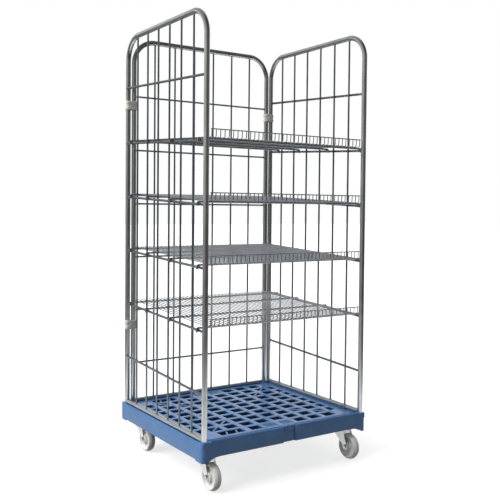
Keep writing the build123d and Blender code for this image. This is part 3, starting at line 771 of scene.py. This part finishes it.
def caster_wheel(corner):
    hub = centre(f"{corner}_wheel")
    low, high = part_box(f"{corner}_wheel")
    outer = (high[2] - low[2]) / 2
    half = 16 * MM
    arc = []
    for i in range(9):
        t = -1 + 2 * i / 8
        arc.append((outer - 6 * MM * t * t, half * t))
    corners = [
        (10 * MM, -18.5 * MM),
        (19 * MM, -18.5 * MM),
        (21 * MM, -8 * MM),
        (39 * MM, -7 * MM),
        (42 * MM, -half),
        *arc,
        (42 * MM, half),
        (39 * MM, 7 * MM),
        (21 * MM, 8 * MM),
        (19 * MM, 18.5 * MM),
        (10 * MM, 18.5 * MM),
    ]
    roller = f"{corner}_roller"
    work = bmesh.new()
    lathe(work, rounded_profile(corners, 2 * MM, 3), hub, (1, 0, 0), WHEEL_SEGMENTS)
    make(f"{corner}_wheel_body", work, WHEEL_WHITE, roller, [f"{corner}_wheel"], 40)
    # beige parting line round the tread
    work = bmesh.new()
    root, crest = outer - 1.5 * MM, outer - 0.05 * MM
    seam = [(root, -1.8 * MM), (crest, -1.2 * MM), (crest, 1.2 * MM), (root, 1.8 * MM)]
    lathe(work, seam, hub, (1, 0, 0), WHEEL_SEGMENTS)
    make(f"{corner}_wheel_seam", work, WHEEL_SEAM, roller)
    # steel bush showing at both ends of the hub
    low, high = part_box(f"{corner}_wheel_bush")
    half_bush = (high[0] - low[0]) / 2
    work = bmesh.new()
    ring = [(5.05 * MM, -half_bush), (10 * MM, -half_bush), (10 * MM, half_bush), (5.05 * MM, half_bush)]
    lathe(work, rounded_profile(ring, 0.5 * MM, 2), hub, (1, 0, 0), 40)
    make(f"{corner}_bush_tube", work, BOLT_ZINC, roller, [f"{corner}_wheel_bush"])


def caster_fork(corner):
    low, high = (Vector(c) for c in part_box(f"{corner}_fork"))
    hub = centre(f"{corner}_wheel")
    x = (low.x + high.x) / 2
    top, rear, front = high.z, high.y, hub.y + 10 * MM
    boss = 12 * MM
    outline = [
        (front, top - 14 * MM),
        (front + 2 * MM, top - 1 * MM),
        (rear - 3 * MM, top - 1 * MM),
        (rear, top - 8 * MM),
        (rear - 4 * MM, top - 24 * MM),
    ]
    # round the boss from its rear side under the axle to its front side
    for i in range(15):
        angle = math.radians(12 - 200 * i / 14)
        outline.append((hub.y + boss * math.cos(angle), hub.z + boss * math.sin(angle)))
    outline.append((hub.y + 1 * MM, hub.z + 30 * MM))
    work = bmesh.new()
    for side in (-1, 1):
        inner, outer = x + side * LEG_IN, x + side * LEG_OUT
        prism(work, outline, min(inner, outer), max(inner, outer), 0.7 * MM, "X")
    # crown: a pressed plate whose edges roll down into the legs
    sections = []
    crown_low = top - 4 * MM
    bend = 5 * MM
    for y in (front, front + 3 * MM, rear - 3 * MM, rear):
        shrink = 1.2 * MM if y in (front, rear) else 0
        ring = []
        for sx, start in ((1, 0), (-1, math.pi / 2)):
            for i in range(6):
                angle = start + math.pi / 2 * i / 5
                out = sx * (LEG_OUT - bend) + bend * math.cos(angle)
                ring.append((x + out, top - bend + (bend - shrink) * math.sin(angle)))
        ring.append((x - LEG_IN, top - bend))
        ring.append((x - LEG_IN, crown_low + shrink))
        ring.append((x + LEG_IN, crown_low + shrink))
        ring.append((x + LEG_IN, top - bend))
        sections.append([work.verts.new((a, y, b)) for a, b in ring])
    join_rings(work, sections)
    work.faces.new(sections[0])
    work.faces.new(sections[-1])
    swivel = f"{corner}_swivel"
    make(f"{corner}_fork_pressing", work, CASTER_ZINC, swivel, [f"{corner}_fork"], 30)
    # axle bolt: head, washers, shank end and nut
    work = bmesh.new()
    sweep(work, [(x - LEG_OUT, hub.y, hub.z), (x + LEG_OUT + 8 * MM, hub.y, hub.z)], AXLE_R, 24, 0.8 * MM)
    for side in (-1, 1):
        washer = [(AXLE_R, 0), (9.6 * MM, 0), (9.6 * MM, WASHER_THICK), (AXLE_R, WASHER_THICK)]
        seat = (x + side * LEG_OUT, hub.y, hub.z)
        lathe(work, rounded_profile(washer, 0.4 * MM, 2), seat, (side, 0, 0), 32)
        ends = sorted((x + side * (LEG_OUT + WASHER_THICK), x + side * (LEG_OUT + 6 * MM)))
        prism(work, hexagon(hub.y, hub.z, 16 * MM, 0.3), ends[0], ends[1], 0.8 * MM, "X")
    make(f"{corner}_axle_set", work, BOLT_ZINC, swivel, [f"{corner}_axle_bolt"])


def caster_head(corner):
    low, high = (Vector(c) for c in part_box(f"{corner}_caster_plate"))
    middle = (low + high) / 2
    work = bmesh.new()
    outline = rounded_rectangle(middle.x, middle.y, (high.x - low.x) / 2, (high.y - low.y) / 2, 8 * MM)
    prism(work, outline, low.z, high.z, 0.8 * MM)
    make(f"{corner}_top_plate", work, CASTER_ZINC, "base", [f"{corner}_caster_plate"])
    low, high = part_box(f"{corner}_swivel_race")
    race = [
        (6.5 * MM, low[2]),
        (26 * MM, low[2]),
        (27 * MM, low[2] + 3.2 * MM),
        (25.6 * MM, low[2] + 3.8 * MM),
        (25.6 * MM, low[2] + 4.6 * MM),
        (29.5 * MM, low[2] + 5.2 * MM),
        (30 * MM, high[2] - 2.5 * MM),
        (26 * MM, high[2]),
        (6.5 * MM, high[2]),
    ]
    work = bmesh.new()
    lathe(work, rounded_profile(race, 0.9 * MM, 3), (middle.x, middle.y, 0), (0, 0, 1), 64)
    make(f"{corner}_ball_race", work, CASTER_ZINC, "base", [f"{corner}_swivel_race"])
    low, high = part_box(f"{corner}_kingpin")
    pin = [
        (0.01 * MM, high[2] - 0.5 * MM),
        (5.9 * MM, high[2] - 0.5 * MM),
        (5.9 * MM, low[2] + 5.6 * MM),
        (10 * MM, low[2] + 5.4 * MM),
        (9 * MM, low[2] + 1.2 * MM),
        (4 * MM, low[2]),
        (0.01 * MM, low[2]),
    ]
    work = bmesh.new()
    lathe(work, rounded_profile(pin, 1 * MM, 3), (middle.x, middle.y, 0), (0, 0, 1), 32)
    make(f"{corner}_kingpin_rivet", work, BOLT_ZINC, "base", [f"{corner}_kingpin"])


for corner in CORNERS:
    caster_wheel(corner)
    caster_fork(corner)
    caster_head(corner)

work = bmesh.new()
for low, high in solids("caster_bolts"):
    middle = (low + high) / 2
    prism(work, hexagon(middle.x, middle.y, 13 * MM, middle.x * 40), low.z, low.z + 5.3 * MM, 0.7 * MM)
    sweep(work, [(middle.x, middle.y, low.z + 5 * MM), (middle.x, middle.y, high.z)], 4 * MM, 16)
make("caster_bolt_set", work, BOLT_ZINC, "base", ["caster_bolts"])

# ---------------------------------------------------------------- shelves
BAR_R = 4 * MM
WIRE_R = 1.8 * MM
LIP_R = 2.2 * MM
WIRE_COUNT = 39
WIRE_PITCH = 19.2 * MM
LIP_HEIGHT = 30 * MM
WELD_SINK = 0.4 * MM
HOOK_BEND_R = 6 * MM
WIRE_BEND_R = 6 * MM
wire_half = (WIRE_COUNT - 1) / 2 * WIRE_PITCH


def build_shelf(number):
    body = f"shelf_{number}"
    bars = sorted(solids(f"{body}_bars"), key=lambda ends: ends[0].y)
    axes = [Vector((0, low.y + BAR_R, high.z - BAR_R)) for low, high in bars]
    along = (axes[-1] - axes[0]).normalized()
    normal = Vector((0, -along.z, along.y))
    work = bmesh.new()
    for (low, high), axis in zip(bars, axes):
        half = high.x - BAR_R
        drop = normal * (axis.z - low.z - BAR_R * abs(along.z))
        corners = [
            axis - Vector((half, 0, 0)) - drop,
            axis - Vector((half, 0, 0)),
            axis + Vector((half, 0, 0)),
            axis + Vector((half, 0, 0)) - drop,
        ]
        sweep(work, rounded_path(corners, HOOK_BEND_R, 8), BAR_R, 18, 0.7 * MM)
    make(f"{body}_support_bars", work, WIRE_ZINC, body, [f"{body}_bars"])

    wires_rear_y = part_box(f"{body}_wires")[1][1]
    start = axes[0] + normal * (BAR_R + WIRE_R - WELD_SINK)
    # the lip rises square to the wires over the front posts' line; the wires end at the node's rear
    foot = start + along * ((FRONT_Y - start.y) / along.y)
    rear = start + along * ((wires_rear_y - start.y) / along.y)
    lip_top = foot + normal * LIP_HEIGHT
    work = bmesh.new()
    rng = random.Random(number)
    for i in range(WIRE_COUNT):
        x = -wire_half + i * WIRE_PITCH
        sway = rng.uniform(-0.35, 0.35) * MM
        shift = Vector((x, 0, 0))
        end = rear + shift + Vector((sway, 0, 0))
        path = rounded_path([lip_top + shift, foot + shift, end], WIRE_BEND_R, 6)
        sweep(work, path, WIRE_R, 10, 0.3 * MM)
    span = Vector((wire_half + 4 * MM, 0, 0))
    sweep(work, [lip_top - span, lip_top + span], LIP_R, 14, 0.4 * MM)
    make(f"{body}_wire_mat", work, WIRE_ZINC, body, [f"{body}_wires"])

    work = bmesh.new()
    for i in range(WIRE_COUNT):
        x = -wire_half + i * WIRE_PITCH
        for axis in axes:
            size = rng.uniform(2.3, 3.0) * MM
            bead(work, axis + Vector((x, 0, 0)) + normal * BAR_R, (size, size, size * 0.6))
        under_lip = lip_top + Vector((x, 0, 0)) - normal * LIP_R * 0.6
        bead(work, under_lip, (2.4 * MM, 2.4 * MM, 1.8 * MM))
    make(f"{body}_weld_spots", work, WELD_ZINC, body)


for number in (1, 2, 3, 4):
    build_shelf(number)

# ---------------------------------------------------------------- studio
def stage_mesh(name, work, material):
    mesh = bpy.data.meshes.new(name)
    work.to_mesh(mesh)
    work.free()
    mesh.shade_smooth()
    mesh.materials.append(material)
    piece = bpy.data.objects.new(name, mesh)
    bpy.context.scene.collection.objects.link(piece)
    return piece


FLOOR_GLOW = 0.68  # the floor's own light, which lifts it to white and keeps the shadow pale
floor_material, floor_tree, floor_shader = new_material("studio_floor")
floor_tint = ramp(
    floor_tree, noise(floor_tree, 3, 3).outputs["Fac"], [(0.3, (0.37, 0.37, 0.37)), (0.7, (0.39, 0.39, 0.39))]
)
floor_tree.links.new(floor_tint.outputs["Color"], floor_shader.inputs["Base Color"])
floor_shader.inputs["Roughness"].default_value = 0.9
floor_shader.inputs["Specular IOR Level"].default_value = 0.1
floor_shader.inputs["Emission Color"].default_value = (1, 1, 1, 1)
floor_shader.inputs["Emission Strength"].default_value = FLOOR_GLOW
# a wide floor, and the white sweep under the object that its metal mirrors
FLOOR_HALF = 40
SWEEP_RADIUS = 1.7
work = bmesh.new()
below = Matrix.Translation((0, 0, -0.6 * MM))
bmesh.ops.create_grid(work, x_segments=2, y_segments=2, size=FLOOR_HALF, matrix=below)
wide_floor = stage_mesh("studio_floor", work, floor_material)
wide_floor.visible_glossy = False
wide_floor.visible_diffuse = False
work = bmesh.new()
below = Matrix.Translation((0, 0, -0.1 * MM))
bmesh.ops.create_circle(work, cap_ends=True, segments=96, radius=SWEEP_RADIUS, matrix=below)
sweep_disc = stage_mesh("studio_sweep", work, floor_material)
sweep_disc.visible_diffuse = False


# brightness round the room: 0 and 1 look along -Y, 0.25 along -X, 0.5 along +Y, 0.75 along +X
ROOM_AROUND = [
    (0.00, (0.09, 0.09, 0.09)),
    (0.07, (0.12, 0.12, 0.12)),
    (0.14, (0.36, 0.355, 0.34)),
    (0.25, (0.62, 0.61, 0.58)),
    (0.38, (0.50, 0.50, 0.49)),
    (0.50, (0.95, 0.96, 0.97)),
    (0.68, (0.95, 0.96, 0.97)),
    (0.80, (0.16, 0.165, 0.17)),
    (0.92, (0.10, 0.10, 0.10)),
    (1.00, (0.09, 0.09, 0.09)),
]
# and from straight down at 0 through level at 0.5 to straight up at 1
ROOM_HEIGHT = [
    (0.00, (0.20, 0.20, 0.20)),
    (0.46, (0.20, 0.20, 0.20)),
    (0.52, (0.80, 0.80, 0.80)),
    (0.60, (1.00, 1.00, 1.00)),
    (0.70, (0.76, 0.77, 0.79)),
    (0.80, (0.44, 0.45, 0.48)),
    (1.00, (0.32, 0.33, 0.36)),
]
ROOM_STRENGTH = 1.3


def build_world():
    """White to the eye; for light and reflections a dim room, bright behind and on the left."""
    world = bpy.data.worlds.new("studio")
    world.use_nodes = True
    bpy.context.scene.world = world
    tree = world.node_tree
    plain = tree.nodes["Background"]
    plain.inputs["Color"].default_value = (1, 1, 1, 1)
    plain.inputs["Strength"].default_value = 1.0
    place = tree.nodes.new("ShaderNodeTexCoord")
    split = tree.nodes.new("ShaderNodeSeparateXYZ")
    tree.links.new(place.outputs["Generated"], split.inputs["Vector"])

    def unit(source, scale):
        shift = tree.nodes.new("ShaderNodeMath")
        shift.operation = "MULTIPLY_ADD"
        shift.inputs[1].default_value = scale
        shift.inputs[2].default_value = 0.5
        tree.links.new(source, shift.inputs[0])
        return shift.outputs["Value"]

    bearing = tree.nodes.new("ShaderNodeMath")
    bearing.operation = "ARCTAN2"
    tree.links.new(split.outputs["X"], bearing.inputs[0])
    tree.links.new(split.outputs["Y"], bearing.inputs[1])
    around = ramp(tree, unit(bearing.outputs["Value"], 0.5 / math.pi), ROOM_AROUND)
    height = ramp(tree, unit(split.outputs["Z"], 0.5), ROOM_HEIGHT)
    joined = tree.nodes.new("ShaderNodeMixRGB")
    joined.blend_type = "MULTIPLY"
    joined.inputs["Fac"].default_value = 1.0
    tree.links.new(height.outputs["Color"], joined.inputs["Color1"])
    tree.links.new(around.outputs["Color"], joined.inputs["Color2"])
    room = tree.nodes.new("ShaderNodeBackground")
    room.inputs["Strength"].default_value = ROOM_STRENGTH
    tree.links.new(joined.outputs["Color"], room.inputs["Color"])
    seen = tree.nodes.new("ShaderNodeLightPath")
    mix = tree.nodes.new("ShaderNodeMixShader")
    tree.links.new(seen.outputs["Is Camera Ray"], mix.inputs["Fac"])
    tree.links.new(room.outputs["Background"], mix.inputs[1])
    tree.links.new(plain.outputs["Background"], mix.inputs[2])
    tree.links.new(mix.outputs["Shader"], tree.nodes["World Output"].inputs["Surface"])


build_world()
bpy.context.scene.view_settings.view_transform = "Standard"


def sun_light(name, towards, power, spread_degrees, colour=(1, 1, 1)):
    data = bpy.data.lights.new(name, "SUN")
    data.energy = power
    data.angle = math.radians(spread_degrees)
    data.color = colour
    light = bpy.data.objects.new(name, data)
    light.rotation_mode = "QUATERNION"
    light.rotation_quaternion = Vector(towards).to_track_quat("-Z", "Y")
    light.visible_camera = False
    light.visible_glossy = False
    bpy.context.scene.collection.objects.link(light)


sun_light("key", (0.72, -0.16, -0.66), 4.2, 50, (1.0, 0.99, 0.97))
sun_light("fill", (-0.15, 0.25, -0.95), 1.3, 120)

# ---------------------------------------------------------------- camera
CAMERA_PLACE = Vector((-1.7889, -2.7161, 1.0706))
CAMERA_YAW = 0.5860
CAMERA_PITCH = -0.0322
CAMERA_ROLL = 0.0089
camera_data = bpy.data.cameras.new("camera")
camera_data.sensor_width = 36
camera_data.lens = 53.7
camera_data.shift_x = 0.0088
camera_data.shift_y = -0.0354
camera_data.clip_end = 200
camera = bpy.data.objects.new("camera", camera_data)
forward = Vector(
    (
        math.sin(CAMERA_YAW) * math.cos(CAMERA_PITCH),
        math.cos(CAMERA_YAW) * math.cos(CAMERA_PITCH),
        math.sin(CAMERA_PITCH),
    )
)
right = Vector((math.cos(CAMERA_YAW), -math.sin(CAMERA_YAW), 0))
up = right.cross(forward)
rolled_right = right * math.cos(CAMERA_ROLL) + up * math.sin(CAMERA_ROLL)
rolled_up = up * math.cos(CAMERA_ROLL) - right * math.sin(CAMERA_ROLL)
turn = Matrix((rolled_right, rolled_up, -forward)).transposed().to_4x4()
camera.matrix_world = Matrix.Translation(CAMERA_PLACE) @ turn
bpy.context.scene.collection.objects.link(camera)
bpy.context.scene.camera = camera

bpy.context.view_layer.update()
